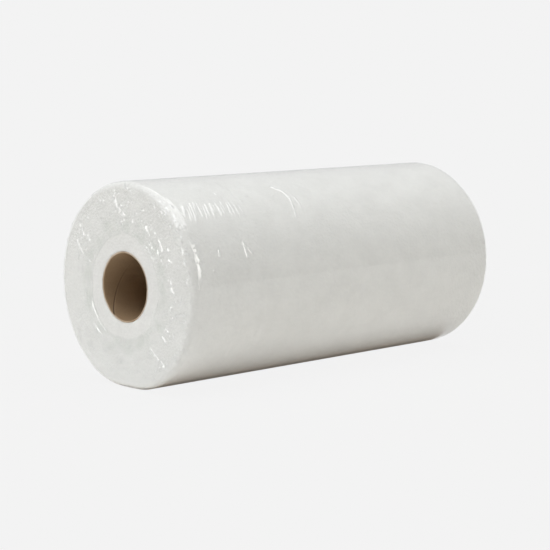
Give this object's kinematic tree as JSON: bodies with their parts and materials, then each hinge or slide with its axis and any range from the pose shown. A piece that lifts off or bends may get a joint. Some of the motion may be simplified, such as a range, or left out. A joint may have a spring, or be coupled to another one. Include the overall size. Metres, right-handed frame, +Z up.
{
  "type": "paper towel roll",
  "caption": "Wrapped roll of white kitchen paper on a cardboard core, lying on its side, with an open eye in the clear film at each end.",
  "frame": {"origin": "on the plane that the roll lies on, under the middle of the roll's length and under its axis", "axes": "+X along the roll's axis, away from the end that the picture shows; +Y away from the side that the picture shows; +Z up"},
  "size_m": [0.2812, 0.1328, 0.1311],
  "materials": {
    "cardboard": "brown spiral-wound cardboard, matt",
    "towel_paper": "white embossed tissue, matt",
    "clear_film": "clear shrink film, glossy, with fine creases"
  },
  "bodies": {
    "root": {"core": "cardboard", "towel_roll": "towel_paper", "wrap_film": "clear_film"}
  },
  "joints": []
}
